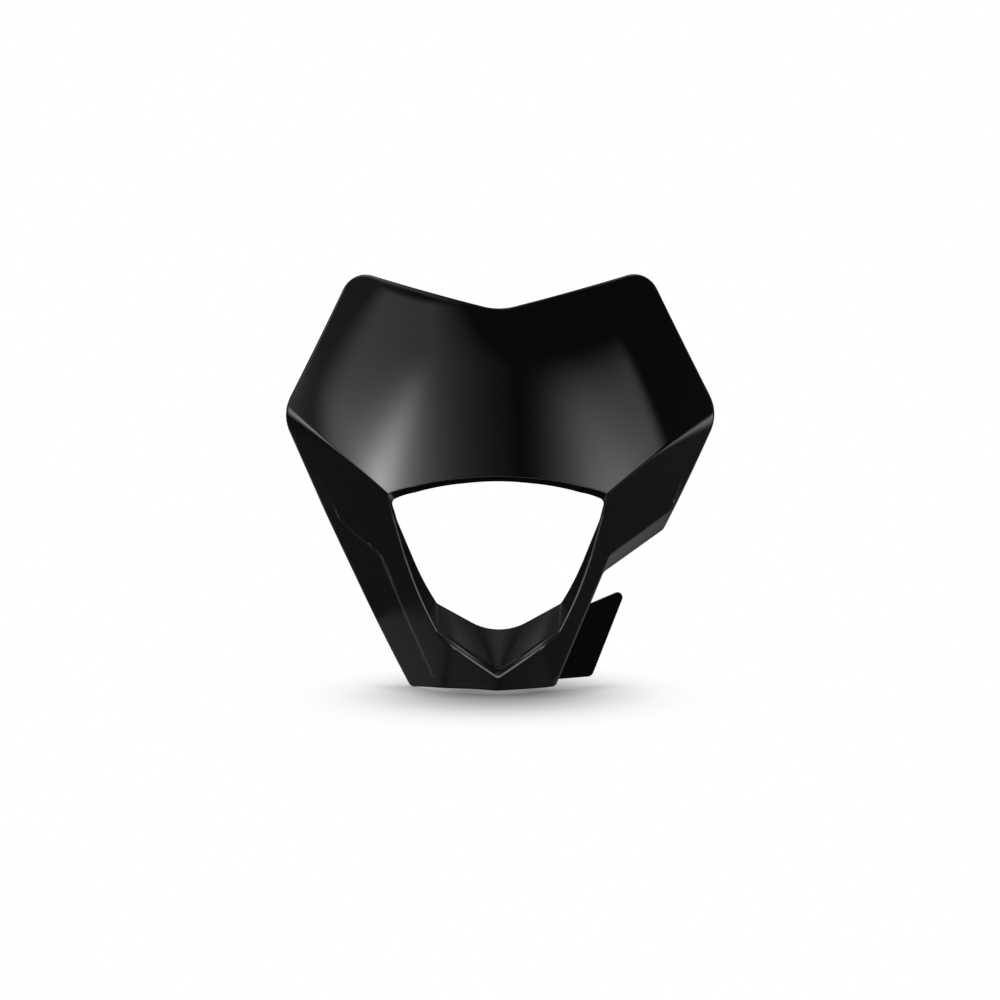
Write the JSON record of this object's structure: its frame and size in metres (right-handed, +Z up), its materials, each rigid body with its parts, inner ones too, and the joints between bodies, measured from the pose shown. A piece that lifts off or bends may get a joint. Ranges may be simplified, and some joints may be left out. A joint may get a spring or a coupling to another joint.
{
  "type": "headlight cowl",
  "caption": "One-piece moulded headlight cowl for an enduro motorbike, with a number plate field, a lamp opening, a hose guide and fixings behind.",
  "frame": {"origin": "middle of the lamp opening, level with the brow, the foremost edge", "axes": "+Z up, +X to the viewer's right, the front faces -Y"},
  "size_m": [0.2941, 0.1223, 0.2817],
  "materials": {
    "black_plastic": "polished field, satin sides"
  },
  "bodies": {
    "root": {"cowl": "black_plastic"}
  },
  "joints": []
}
